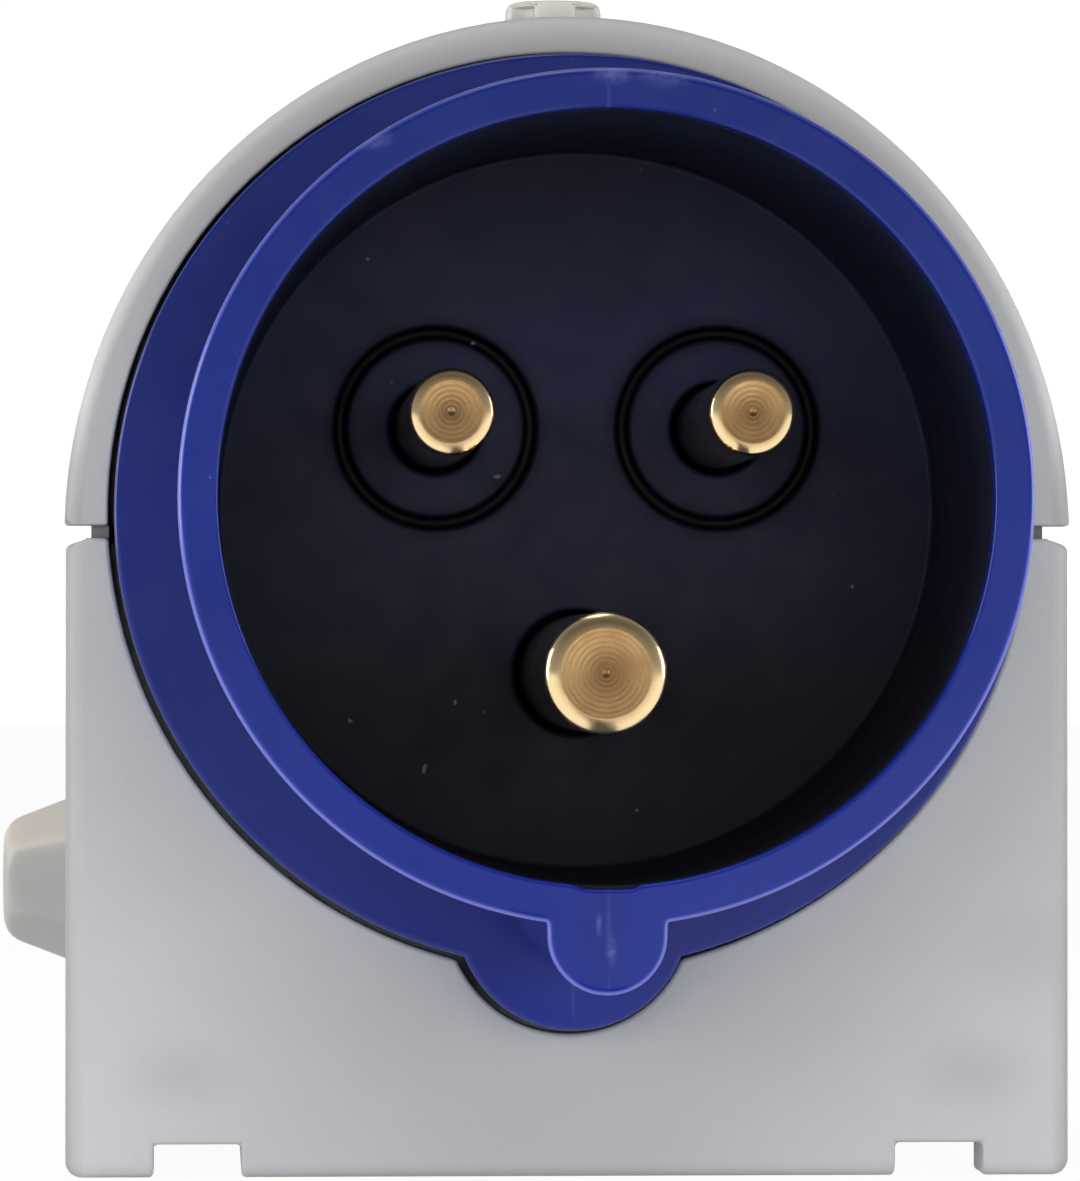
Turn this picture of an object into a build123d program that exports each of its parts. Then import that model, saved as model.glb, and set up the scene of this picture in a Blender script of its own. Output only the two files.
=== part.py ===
from build123d import *
import os
from math import cos, radians, sin

# Wall-mounted appliance inlet with three round pins, 16 A, two poles and earth.
# Millimetres. The wall face lies on Z = 0, the shroud opens towards -Y, and the
# cable enters from behind at +Y. X = 0 is the middle plane of the pins.

# Housing
housing_length = 88.0
base_height = 40.0
side_land = 2.65
crown_land = 2.35
wall = 3.2
split_gap = 0.8
rear_corner = 6.0
front_corner = 1.2
foot_round = 1.0
shoulder_run = 1.5
shoulder_drop = 0.5
hood_overhang = 0.1
hood_front_round = 1.0

# Underside of the base: a middle pad, two open channels and a foot at each corner
foot_width = 5.5
channel_width = 5.5
channel_height = 2.1
foot_length = 5.5
floor_skin = 2.4
rib = 1.8
pocket_rows = 4
centre_pad_r = 6.0

# Holes for the wall screws
wall_hole_r = 2.25
wall_hole_dx = 30.0
wall_hole_dy = 60.0
wall_boss_r = 4.5
wall_boss_height = 2.5

# Shroud, measured from its own axis
axis_lift = 1.6
shroud_reach = 42.8
flange_reach = 5.0
bowl_r = 22.0
bowl_depth = 34.0
tube_wall = 2.3
lip_depth = 1.6
sleeve_wall = 0.9
seat_step = 0.8
neck_wall = 2.4
neck_length = 8.4
drum_land = 2.3
drum_length = 10.8
lip_relief_width = 3.8
lip_relief_depth = 0.2
rim_round = 0.4
flange_round = 0.5
key_stand = 0.5
key_r = 3.4
key_blend = 0.5
lobe_sink = 3.4
lobe_r = 7.2
ring_gap = 0.45

# Bulkhead ring that carries the shroud, and the seal in front of it
seal_thick = 1.2
bulkhead_thick = 2.6
neck_gap = 0.4

# Pins on their pitch circle, angles seen from the front
pitch_r = 10.0
line_angle = 150.0
neutral_angle = 30.0
earth_angle = 270.0
live_r = 2.5
live_reach = 28.6
earth_r = 3.5
earth_reach = 32.5
pin_chamfer = 0.45
pin_play = 0.35
pin_neck_step = 0.25
collar_step = 1.0
collar_thick = 3.0
live_barrel_r = 4.0
earth_barrel_r = 4.9
live_wire_r = 1.8
earth_wire_r = 2.3
barrel_length = 16.0
wire_depth = 10.0

# Carrier
carrier_floor = 3.2
carrier_flange = 2.0
carrier_skin = 2.2
tower_wall = 1.3
carrier_web = 1.6
groove_stand = 3.0
groove_width = 0.7
groove_depth = 1.2
slip = 0.05
barrel_gap = 0.2

# Retainer, its screws and the lock ring
retainer_thick = 3.0
barrier_reach = 17.0
barrier_thick = 1.6
retainer_screw_inset = 6.7
retainer_screw_r = 1.25
retainer_screw_length = 9.0
retainer_boss_r = 2.6
lock_ring_thick = 1.6
lock_ring_bite = 0.8
lock_ring_stand = 1.4
lock_ring_gap = 9.0

# Terminal screws
live_screw_r = 1.5
earth_screw_r = 2.0
terminal_back = 5.0
terminal_lift = 0.8
terminal_head_step = 1.2
terminal_head = 1.9

# Lugs that carry the shroud on the base, and their screws
lug_tuck = 4.6
lug_depth = 20.0
lug_drop = 14.0
lug_thick = 3.0
lug_width = 8.0
lug_back = 5.0
lug_screw_r = 1.75
lug_screw_length = 14.0
post_r = 4.0

# Hood screw, its boss on the crown and the tongue of the shroud under it
hood_screw_depth = 20.8
hood_pad_land = 1.1
hood_pad_rise = 1.4
hood_pad_chamfer = 0.6
hood_screw_r = 2.0
hood_screw_length = 13.0
hood_hole_play = 0.3
head_r = 3.15
head_height = 1.25
head_round = 0.6
grip_r = 1.1
grip_stand = 0.15
grip_roof = 0.4
coin_slot_width = 1.2
coin_slot_depth = 0.6
screw_seal_lap = 0.2
screw_seal_thick = 0.8
tongue_half_width = 6.0
tongue_back = 5.0
tongue_boss_wall = 2.2
tongue_boss_depth = 8.3
crown_gap = 0.5

# Seal in the split between hood and base
seal_inset = 1.6
seal_width = 1.1
seal_seat = 0.6
seal_front_skin = 1.0
joint_step = 1.5

# Hooks at the rear of the hood
hook_x = 16.0
hook_width = 8.0
hook_thick = 1.6
hook_drop = 4.0
hook_gap = 0.2
hook_grip = 6.0
nib = 0.8
nib_height = 1.4

# Cable gland in the rear wall
gland_height = 20.0
cable_r = 5.0
gland_insert_wall = 2.5
gland_wall = 2.5
gland_land = 2.0
gland_hole_gap = 0.2
gland_collar = 5.0
gland_claws = 8.0
gland_claw_count = 8
gland_claw_slot = 1.2
gland_claw_depth = 4.8
gland_washer = 0.8
locknut_thick = 4.0
thread_gap = 0.05
gland_insert_length = 12.6
gland_nut_gap = 0.6
gland_nut_flats_length = 8.0
gland_nut_length = 14.4
gland_dome_wall = 1.2
gland_dome_round = 3.0
gland_mouth_gap = 1.6
gland_nut_end = 4.4
hex_chamfer = 0.8

# Plug that closes the side cable entry
plug_depth = 36.0
plug_height = 17.6
plug_base_r = 5.65
plug_end_r = 3.85
plug_head = 4.85
plug_round = 1.9
plug_flat_cut = 0.5
plug_taper = 20.4
plug_stem_r = 3.9
plug_stem = 7.0
plug_hole_gap = 0.1
plug_seal_width = 1.1
plug_seal_thick = 1.0

# Slots of the metal screws
slot_width = 0.9
slot_share = 0.5

# Radii that follow from the bore of the shroud
tube_r = bowl_r + tube_wall
sleeve_r = bowl_r + sleeve_wall
seat_r = sleeve_r + seat_step
neck_r = seat_r + neck_wall
drum_r = neck_r + drum_land
key_drop = tube_r + key_stand
lobe_drop = drum_r - lobe_sink
lock_ring_inner_r = seat_r - lock_ring_stand
retainer_screw_x = seat_r - retainer_screw_inset
lug_x = neck_r - lug_tuck

# Radii that follow from the pins, the cable and the screws
groove_inner_r = live_r + groove_stand
groove_outer_r = groove_inner_r + groove_width
gland_bore_r = cable_r + gland_insert_wall
gland_thread_r = gland_bore_r + gland_wall
gland_half_flats = gland_thread_r + gland_land
gland_dome_r = gland_thread_r + gland_dome_wall
gland_mouth_r = cable_r + gland_mouth_gap
hood_pad_r = head_r + hood_pad_land
screw_seal_r = head_r - screw_seal_lap
tongue_boss_r = hood_screw_r + tongue_boss_wall
plug_seal_r = plug_stem_r + plug_seal_width

# Widths of the housing, which closes round the drum
base_width = 2 * (drum_r + ring_gap + side_land)
hood_half_width = base_width / 2 + hood_overhang
hood_rise = axis_lift + drum_r + ring_gap + crown_land
channel_outer = base_width / 2 - foot_width
pad_half_width = channel_outer - channel_width

# Depths that follow from the sizes above
front = -housing_length / 2
rear = housing_length / 2
rim = front - shroud_reach
flange_face = front - flange_reach
drum_back = flange_face + drum_length
bulkhead_front = drum_back + seal_thick
bulkhead_back = bulkhead_front + bulkhead_thick
neck_back = drum_back + neck_length
floor_face = rim + bowl_depth
carrier_back = drum_back + carrier_flange
retainer_back = carrier_back + retainer_thick
barrel_back = carrier_back + barrel_length
collar_front = carrier_back - collar_thick
terminal_y = barrel_back - terminal_back
lug_y = front + lug_depth
hood_screw_y = front + hood_screw_depth
gland_face = rear + gland_washer
claw_front = gland_face + gland_collar
claw_back = claw_front + gland_claws
gland_nut_front = claw_front + gland_nut_gap
gland_nut_back = gland_nut_front + gland_nut_length
gland_insert_back = gland_nut_back - gland_nut_end

# Heights that follow from the sizes above
axis_height = base_height + axis_lift
hood_bottom = base_height + split_gap
crown = base_height + hood_rise
floor_top = channel_height + floor_skin
pad_top = crown + hood_pad_rise
lug_bottom = axis_height - lug_drop

on_base = (Align.CENTER, Align.CENTER, Align.MIN)
past = 1.0


def slab(profile, near, far, height=axis_height):
    """Front-view profile round an axis at this height, solid from depth near to depth far."""
    plane = Plane(origin=(0, far, height), x_dir=(1, 0, 0), z_dir=(0, -1, 0))
    return extrude(plane * profile, amount=far - near)


def ring(outer, inner):
    """Flat ring."""
    return Circle(outer) - Circle(inner)


def post(x, y, low, high, radius):
    """Upright round post between two heights."""
    return Pos(x, y, low) * Cylinder(radius, high - low, align=on_base)


def block(x_range, y_range, z_range):
    """Box between pairs of limits."""
    size = [high - low for low, high in (x_range, y_range, z_range)]
    low = [pair[0] for pair in (x_range, y_range, z_range)]
    return Pos(*low) * Box(*size, align=(Align.MIN, Align.MIN, Align.MIN))


def turned(angle):
    """Turns a piece made at the top of the pitch circle to an angle seen from the front."""
    return Pos(0, 0, axis_height) * Rot(0, 90 - angle, 0) * Pos(0, 0, -axis_height)


def on_pitch(angle):
    """Centre of a pin in the front view."""
    return Pos(pitch_r * cos(radians(angle)), pitch_r * sin(radians(angle)))


def slotted_screw(shank_r, length, screw_head_r, head):
    """Upright cheese-head screw: the underside of its head is at Z = 0."""
    top = Cylinder(screw_head_r, head, align=on_base)
    top = fillet(top.edges().group_by(Axis.Z)[-1], head / 5)
    slot_depth = head * slot_share
    top -= Pos(0, 0, head - slot_depth) * Box(2 * screw_head_r + past, slot_width, head, align=on_base)
    shank = Cylinder(shank_r, length, align=(Align.CENTER, Align.CENTER, Align.MAX))
    return top + chamfer(shank.edges().group_by(Axis.Z)[0], shank_r / 4)


def lobed(radius, lobe):
    """Round outline with the round lobe of the key under it."""
    return Circle(radius) + Pos(0, -lobe_drop) * Circle(lobe)


def tube_outline():
    """Shroud tube with its solid key at six o'clock, blended into the tube."""
    key = Pos(0, -key_drop) * Circle(key_r)
    key += Pos(0, -key_drop / 2) * Rectangle(2 * key_r, key_drop)
    outline = Circle(tube_r) + key
    roots = outline.vertices().filter_by(lambda v: v.Y < 0 and abs(v.Y + key_drop) > slip)
    return fillet(roots, key_blend)


def make_inlet_shroud():
    """Shroud, flange, neck, lugs and the tongue under the hood screw, moulded as one piece."""
    tube = slab(tube_outline(), rim, flange_face + past)
    tube = fillet(tube.edges().group_by(Axis.Y)[0], rim_round)
    drum = slab(lobed(drum_r, lobe_r), flange_face, drum_back)
    drum = fillet(drum.edges().group_by(Axis.Y)[0], flange_round)
    neck = slab(Circle(neck_r), drum_back - past, neck_back)
    body = tube + drum + neck
    for side in (-1, 1):
        body += block(
            (side * lug_x - lug_width / 2, side * lug_x + lug_width / 2),
            (neck_back - lug_thick, lug_y + lug_back),
            (lug_bottom, lug_bottom + lug_thick),
        )
    tongue = slab(ring(neck_r, seat_r), neck_back - past, hood_screw_y + tongue_back)
    tongue &= block(
        (-tongue_half_width, tongue_half_width),
        (neck_back - past, hood_screw_y + tongue_back),
        (axis_height, crown),
    )
    boss_top = crown - wall - crown_gap
    boss = post(0, hood_screw_y, boss_top - tongue_boss_depth, boss_top, tongue_boss_r)
    body += tongue + boss
    body -= slab(Circle(bowl_r), rim - past, rim + lip_depth)
    relief = Circle(bowl_r + lip_relief_depth) & Pos(0, -bowl_r) * Rectangle(lip_relief_width, bowl_r)
    body -= slab(relief, rim - past, rim + lip_depth)
    body -= slab(Circle(sleeve_r), rim + lip_depth, drum_back)
    body -= slab(Circle(seat_r), drum_back, neck_back)
    groove_back = retainer_back + lock_ring_thick + slip
    body -= slab(Circle(seat_r + lock_ring_bite + slip), retainer_back, groove_back)
    screw_end = pad_top - hood_screw_length
    body -= post(0, hood_screw_y, screw_end - past, boss_top + past, hood_screw_r + slip)
    lug_top = lug_bottom + lug_thick
    for side in (-1, 1):
        body -= post(side * lug_x, lug_y, lug_bottom - past, lug_top + past, lug_screw_r + slip)
    return body


def make_pin_carrier():
    """Black cup behind the lip of the shroud: sleeve, floor, pin towers and rear flange."""
    cup = slab(Circle(sleeve_r - slip), rim + lip_depth, carrier_back)
    cup += slab(Circle(seat_r - slip), drum_back, carrier_back)
    cup -= slab(Circle(bowl_r), rim, floor_face)
    towers = Sketch()
    for angle, collar in pin_collars():
        towers += on_pitch(angle) * Circle(collar + tower_wall)
        towers += Rot(0, 0, angle) * Rectangle(bowl_r, carrier_web, align=(Align.MIN, Align.CENTER))
    for side in (-1, 1):
        towers += Pos(side * retainer_screw_x, 0) * Circle(retainer_boss_r)
    relief = Circle(sleeve_r - carrier_skin) - towers
    cup -= slab(relief, floor_face + carrier_floor, carrier_back)
    for angle in (line_angle, neutral_angle):
        groove = on_pitch(angle) * ring(groove_outer_r, groove_inner_r)
        cup -= slab(groove, floor_face, floor_face + groove_depth)
    for angle, radius in ((line_angle, live_r), (neutral_angle, live_r), (earth_angle, earth_r)):
        cup -= slab(on_pitch(angle) * Circle(radius + pin_play), floor_face - past, carrier_back)
    for angle, collar in pin_collars():
        cup -= slab(on_pitch(angle) * Circle(collar + slip), collar_front, carrier_back)
    for side in (-1, 1):
        hole = Pos(side * retainer_screw_x, 0) * Circle(retainer_screw_r + slip)
        cup -= slab(hole, retainer_back - retainer_screw_length - slip, carrier_back)
    return cup


def pin_collars():
    """Angle and collar radius of each pin."""
    live = live_barrel_r + collar_step
    earth = earth_barrel_r + collar_step
    return ((line_angle, live), (neutral_angle, live), (earth_angle, earth))


def make_pin(angle, radius, reach, barrel_r, wire_r, screw_r):
    """Turned brass pin: contact, collar and terminal barrel with its wire bore and screw hole."""
    centre = Pos(0, pitch_r)
    contact = slab(centre * Circle(radius), floor_face - reach, floor_face)
    pin = chamfer(contact.edges().group_by(Axis.Y)[0], pin_chamfer)
    pin += slab(centre * Circle(radius - pin_neck_step), floor_face, collar_front)
    pin += slab(centre * Circle(barrel_r + collar_step), collar_front, carrier_back)
    barrel = slab(centre * Circle(barrel_r), carrier_back, barrel_back)
    pin += chamfer(barrel.edges().group_by(Axis.Y)[-1], pin_chamfer)
    pin -= slab(centre * Circle(wire_r), barrel_back - wire_depth, barrel_back + past)
    top = axis_height + pitch_r
    pin -= post(0, terminal_y, top, top + barrel_r + past, screw_r + slip)
    return turned(angle) * pin


def make_terminal_screw(angle, barrel_r, screw_r):
    """Slotted screw that clamps the wire in a terminal barrel, pointing at the shroud's axis."""
    head_seat = axis_height + pitch_r + barrel_r + terminal_lift
    screw = slotted_screw(screw_r, barrel_r + terminal_lift, screw_r + terminal_head_step, terminal_head)
    return turned(angle) * Pos(0, terminal_y, head_seat) * screw


def make_pin_retainer():
    """Plate that traps the pin collars, with the barrier walls between the terminals."""
    barriers = Sketch()
    for angle in (line_angle, neutral_angle, earth_angle):
        opposite = Rot(0, 0, angle + 180)
        barriers += opposite * Rectangle(barrier_reach, barrier_thick, align=(Align.MIN, Align.CENTER))
    plate = slab(Circle(seat_r - slip), carrier_back, retainer_back)
    plate += slab(barriers, carrier_back, barrel_back)
    for angle, collar in pin_collars():
        hole = on_pitch(angle) * Circle(collar - collar_step + barrel_gap)
        plate -= slab(hole, carrier_back - past, barrel_back + past)
    for side in (-1, 1):
        hole = Pos(side * retainer_screw_x, 0) * Circle(retainer_screw_r + slip)
        plate -= slab(hole, carrier_back - past, retainer_back + past)
    return plate


def make_retainer_screws():
    """Two screws that hold the retainer on the carrier."""
    screw = slotted_screw(retainer_screw_r, retainer_screw_length, 2 * retainer_screw_r, terminal_head)
    screw = Rot(-90, 0, 0) * screw
    left, right = (Pos(side * retainer_screw_x, retainer_back, axis_height) * screw for side in (-1, 1))
    return Compound(children=[left, right])


def make_lock_ring():
    """Open ring in the groove of the neck that keeps the carrier in the shroud."""
    profile = ring(seat_r + lock_ring_bite, lock_ring_inner_r)
    profile -= Pos(0, -seat_r) * Rectangle(lock_ring_gap, seat_r)
    return slab(profile, retainer_back, retainer_back + lock_ring_thick)


def make_shroud_seal():
    """Flat ring between the back of the drum and the bulkhead."""
    return slab(ring(drum_r, neck_r + slip), drum_back, bulkhead_front)


def plan(inset, low, high):
    """Plan of the housing, set in all round and solid between two heights."""
    outline = Rectangle(base_width - 2 * inset, housing_length - 2 * inset)
    corners = outline.vertices().group_by(Axis.Y)
    rear_round = rear_corner - inset
    front_round = front_corner - inset
    if rear_round > 0:
        outline = fillet(corners[-1], rear_round)
    if front_round > 0:
        outline = fillet(outline.vertices().group_by(Axis.Y)[0], front_round)
    return Pos(0, 0, low) * extrude(outline, amount=high - low)


def split_band(play, low, high):
    """U-shaped band along both sides and the rear, ending behind the skin of the front."""
    outer = seal_inset - play
    inner = seal_inset + seal_width + play
    band = Sketch()
    for inset, sign in ((outer, 1), (inner, -1)):
        length = housing_length - inset
        strip = Rectangle(base_width - 2 * inset, length + past, align=(Align.CENTER, Align.MAX))
        strip = fillet(strip.vertices().group_by(Axis.Y)[-1], rear_corner - inset)
        strip = Pos(0, rear - inset) * strip
        band = band + strip if sign > 0 else band - strip
    room = Rectangle(base_width, housing_length, align=(Align.CENTER, Align.MIN))
    band &= Pos(0, front + seal_front_skin - play) * room
    return Pos(0, 0, low) * extrude(band, amount=high - low)


def front_outline():
    """Front view of the base, with shoulders that fall away outside the split."""
    half = base_width / 2
    shoulder = [(half, base_height - shoulder_drop), (half - shoulder_run, base_height)]
    right = [(half, 0), *shoulder]
    return make_face(Polyline(*right, *[(-x, z) for x, z in reversed(right)], close=True))


def make_base_box():
    """Moulded base: box, bulkhead, posts, wall-screw bosses and the ribbed underside."""
    body = plan(0, 0, base_height)
    body = fillet(body.edges().group_by(Axis.Z)[0], foot_round)
    body &= slab(front_outline(), front - past, rear + past, 0)
    body -= plan(wall, floor_top, base_height + past)
    bulkhead = (bulkhead_front, bulkhead_back)
    inside = base_width / 2 - wall
    body += block((-inside, inside), bulkhead, (floor_top, base_height))
    body -= slab(lobed(drum_r + ring_gap, lobe_r + ring_gap), front - past, bulkhead_front)
    body -= slab(Circle(neck_r + neck_gap), bulkhead_front - past, bulkhead_back + past)
    body -= split_band(slip, base_height - seal_seat, base_height + past)
    for side in (-1, 1):
        channel = sorted((side * pad_half_width, side * channel_outer))
        body -= block(channel, (front - past, rear + past), (-past, channel_height))
        side_gap = sorted((side * channel_outer, side * base_width))
        body -= block(side_gap, (front + foot_length, rear - foot_length), (-past, channel_height))
        body += post(side * lug_x, lug_y, floor_top, lug_bottom, post_r)
        gusset = sorted((side * lug_x, side * inside))
        body += block(gusset, (lug_y - rib / 2, lug_y + rib / 2), (floor_top, lug_bottom - post_r))
        screw_end = lug_bottom + lug_thick - lug_screw_length
        body -= post(side * lug_x, lug_y, screw_end - past, lug_bottom + past, lug_screw_r + slip)
    body -= make_pockets()
    for x in (-wall_hole_dx / 2, wall_hole_dx / 2):
        for y in (-wall_hole_dy / 2, wall_hole_dy / 2):
            body += post(x, y, floor_top, floor_top + wall_boss_height, wall_boss_r)
            body -= post(x, y, -past, floor_top + wall_boss_height + past, wall_hole_r)
    body -= slab(Circle(gland_thread_r + gland_hole_gap), rear - wall - past, rear + past, gland_height)
    body -= make_plug_hole()
    for x in (-hook_x, hook_x):
        body -= hook_nib(x, hook_gap)
    return body


def make_pockets():
    """Shallow pockets in the middle pad, between ribs, that leave round pads at the screws."""
    width = pad_half_width - 1.5 * rib
    length = (housing_length - (pocket_rows + 1) * rib) / pocket_rows
    pockets = Part()
    for row in range(pocket_rows):
        y = front + rib + row * (length + rib)
        for x in (rib - pad_half_width, rib / 2):
            pockets += block((x, x + width), (y, y + length), (-past, channel_height))
    for x in (-wall_hole_dx / 2, wall_hole_dx / 2):
        for y in (-wall_hole_dy / 2, wall_hole_dy / 2):
            pockets -= post(x, y, -past, channel_height, wall_boss_r)
    return pockets - post(0, 0, -past, channel_height, centre_pad_r)


def make_joint_step():
    """Band outside the seal, behind the front wall, where the hood's edge stands off the base."""
    step = (hood_bottom - past, hood_bottom + joint_step)
    band = plan(-past, *step) - plan(seal_inset, *step)
    return band & block((-base_width, base_width), (front + wall, rear + past), step)


def hood_profile(inset):
    """Half-oval front view of the hood above the split, set in all round."""
    oval = Ellipse(hood_half_width - inset, hood_rise - inset)
    keep = Pos(0, split_gap) * Rectangle(base_width + hood_rise, hood_rise, align=(Align.CENTER, Align.MIN))
    return oval & keep


def make_hood():
    """Arched hood: shell, bulkhead, screw boss on the crown and two rear hooks."""
    body = slab(hood_profile(0), front, rear, base_height)
    arch = body.edges().filter_by(lambda e: e.geom_type != GeomType.LINE)
    body = fillet(arch.group_by(Axis.Y)[-1], rear_corner)
    arch = body.edges().filter_by(lambda e: e.geom_type != GeomType.LINE)
    body = fillet(arch.group_by(Axis.Y)[0], hood_front_round)
    boss = post(0, hood_screw_y, crown - wall, pad_top, hood_pad_r)
    body += chamfer(boss.edges().group_by(Axis.Z)[-1], hood_pad_chamfer)
    body -= slab(hood_profile(wall), front + wall, rear - wall, base_height)
    body += slab(hood_profile(wall / 2), bulkhead_front, bulkhead_back, base_height)
    body -= make_joint_step()
    body -= slab(lobed(drum_r + ring_gap, lobe_r + ring_gap), front - past, bulkhead_front)
    body -= slab(Circle(neck_r + neck_gap), bulkhead_front - past, bulkhead_back + past)
    body -= post(0, hood_screw_y, crown - 2 * wall, pad_top + past, hood_screw_r + hood_hole_play)
    body -= post(0, hood_screw_y, pad_top - screw_seal_thick, pad_top + past, screw_seal_r + slip)
    for x in (-hook_x, hook_x):
        reach = rear - wall
        sides = (x - hook_width / 2, x + hook_width / 2)
        body += block(sides, (reach - hook_gap - hook_thick, reach), (hood_bottom, hood_bottom + hook_grip))
        tail = (reach - hook_gap - hook_thick, reach - hook_gap)
        body += block(sides, tail, (base_height - hook_drop, hood_bottom))
        body += hook_nib(x, 0)
    return body


def hook_nib(x, play):
    """Nib on a hood hook, or with play the recess for it in the base."""
    face = rear - wall - hook_gap
    low = base_height - hook_drop
    sides = (x - hook_width / 2 - play, x + hook_width / 2 + play)
    return block(sides, (face, face + nib + play), (low - play, low + nib_height + play))


def make_hood_screw():
    """Captive screw: low head with four grip notches round it and a coin slot on top."""
    head = Cylinder(head_r, head_height, align=on_base)
    head = fillet(head.edges().group_by(Axis.Z)[-1], head_round)
    for corner in (45, 135, 225, 315):
        notch = Cylinder(grip_r, head_height - grip_roof, align=on_base)
        head -= Rot(0, 0, corner) * Pos(head_r + grip_stand, 0) * notch
    slot = Box(2 * head_r, coin_slot_width, coin_slot_depth, align=(Align.CENTER, Align.CENTER, Align.MAX))
    head -= Pos(0, 0, head_height) * slot
    shank = Pos(0, 0, -hood_screw_length) * Cylinder(hood_screw_r, hood_screw_length, align=on_base)
    shank = chamfer(shank.edges().group_by(Axis.Z)[0], hood_screw_r / 4)
    return Pos(0, hood_screw_y, pad_top) * (head + shank)


def make_hood_screw_seal():
    """Small ring under the head of the hood screw."""
    collar = extrude(ring(screw_seal_r, hood_screw_r + slip), amount=screw_seal_thick)
    return Pos(0, hood_screw_y, pad_top - screw_seal_thick) * collar


def make_lug_screws():
    """Two screws that hold the shroud's lugs on the posts of the base."""
    screw = slotted_screw(lug_screw_r, lug_screw_length, 2 * lug_screw_r, terminal_head)
    seat = lug_bottom + lug_thick
    left, right = (Pos(side * lug_x, lug_y, seat) * screw for side in (-1, 1))
    return Compound(children=[left, right])


def hex_collar(near, far):
    """Hexagonal wrench collar of the gland with both ends chamfered."""
    flats = RegularPolygon(gland_half_flats, 6, major_radius=False, rotation=30)
    blank = slab(Circle(gland_half_flats / cos(radians(30))), near, far, gland_height)
    return slab(flats, near, far, gland_height) & chamfer(blank.edges(), hex_chamfer)


def make_gland_body():
    """Gland body: threaded spigot through the wall, hexagonal collar and clamping claws."""
    inner_end = rear - wall - locknut_thick
    body = slab(Circle(gland_thread_r), inner_end, claw_back, gland_height)
    body += hex_collar(gland_face, claw_front)
    body -= slab(Circle(gland_bore_r), inner_end - past, claw_back + past, gland_height)
    for k in range(gland_claw_count // 2):
        slot = Rot(0, 0, k * 360 / gland_claw_count) * Rectangle(2 * gland_thread_r + past, gland_claw_slot)
        body -= slab(slot, claw_back - gland_claw_depth, claw_back + past, gland_height)
    return body


def make_gland_washer():
    """Rubber washer between the gland's collar and the rear wall."""
    return slab(ring(gland_half_flats, gland_thread_r + thread_gap), rear, gland_face, gland_height)


def make_gland_locknut():
    """Hexagonal nut that holds the gland from inside the housing."""
    nut = hex_collar(rear - wall - locknut_thick, rear - wall)
    return nut - slab(Circle(gland_thread_r + thread_gap), front, rear, gland_height)


def make_gland_insert():
    """Rubber sleeve that grips the cable."""
    profile = ring(gland_bore_r - thread_gap, cable_r)
    return slab(profile, gland_insert_back - gland_insert_length, gland_insert_back, gland_height)


def make_gland_nut():
    """Domed nut that closes the claws on the rubber sleeve."""
    flats_back = gland_nut_front + gland_nut_flats_length
    dome = slab(Circle(gland_dome_r), gland_nut_front, gland_nut_back, gland_height)
    dome = fillet(dome.edges().group_by(Axis.Y)[-1], gland_dome_round)
    nut = dome + hex_collar(gland_nut_front, flats_back)
    nut -= slab(Circle(gland_thread_r + thread_gap), gland_nut_front - past, gland_insert_back, gland_height)
    return nut - slab(Circle(gland_mouth_r), gland_nut_front, gland_nut_back + past, gland_height)


def on_left_wall():
    """Place of the side entry, with +Z pointing out of the left wall."""
    return Pos(-base_width / 2, front + plug_depth, plug_height) * Rot(0, -90, 0)


def make_plug_hole():
    """Hole of the side entry with the counterbore for its seal."""
    hole = Cylinder(plug_stem_r + plug_hole_gap, 2 * (wall + past))
    seat = Pos(0, 0, -plug_seal_thick) * Cylinder(plug_seal_r + slip, plug_seal_thick + past, align=on_base)
    return on_left_wall() * (hole + seat)


def make_side_plug():
    """Blanking plug with a tapered hexagonal head, rounded at its end, and a round stem."""
    flats = RegularPolygon(plug_base_r - plug_flat_cut, 6, major_radius=False)
    blank = Cone(plug_base_r, plug_end_r, plug_head, align=on_base)
    head = fillet(blank.edges().group_by(Axis.Z)[-1], plug_round)
    head &= extrude(flats, amount=plug_head, taper=plug_taper)
    stem = Cylinder(plug_stem_r, plug_stem, align=(Align.CENTER, Align.CENTER, Align.MAX))
    stem = chamfer(stem.edges().group_by(Axis.Z)[0], plug_stem_r / 4)
    return on_left_wall() * (head + stem)


def make_side_plug_seal():
    """Ring that seals the blanking plug in its counterbore."""
    collar = extrude(ring(plug_seal_r, plug_stem_r + slip), amount=-plug_seal_thick)
    return on_left_wall() * collar


nodes = {
    "base_box": make_base_box(),
    "hood": make_hood(),
    "inlet_shroud": make_inlet_shroud(),
    "pin_carrier": make_pin_carrier(),
    "pin_line": make_pin(line_angle, live_r, live_reach, live_barrel_r, live_wire_r, live_screw_r),
    "pin_neutral": make_pin(neutral_angle, live_r, live_reach, live_barrel_r, live_wire_r, live_screw_r),
    "pin_earth": make_pin(earth_angle, earth_r, earth_reach, earth_barrel_r, earth_wire_r, earth_screw_r),
    "terminal_screw_line": make_terminal_screw(line_angle, live_barrel_r, live_screw_r),
    "terminal_screw_neutral": make_terminal_screw(neutral_angle, live_barrel_r, live_screw_r),
    "terminal_screw_earth": make_terminal_screw(earth_angle, earth_barrel_r, earth_screw_r),
    "pin_retainer": make_pin_retainer(),
    "retainer_screws": make_retainer_screws(),
    "lock_ring": make_lock_ring(),
    "shroud_seal": make_shroud_seal(),
    "hood_seal": split_band(0, base_height - seal_seat, hood_bottom),
    "hood_screw": make_hood_screw(),
    "hood_screw_seal": make_hood_screw_seal(),
    "lug_screws": make_lug_screws(),
    "gland_body": make_gland_body(),
    "gland_washer": make_gland_washer(),
    "gland_locknut": make_gland_locknut(),
    "gland_insert": make_gland_insert(),
    "gland_nut": make_gland_nut(),
    "side_plug": make_side_plug(),
    "side_plug_seal": make_side_plug_seal(),
}

os.makedirs("parts", exist_ok=True)
for name, piece in nodes.items():
    export_step(piece, f"parts/{name}.step")
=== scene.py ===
from math import atan2, cos, pi, radians, sin, sqrt, tan, tau

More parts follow.
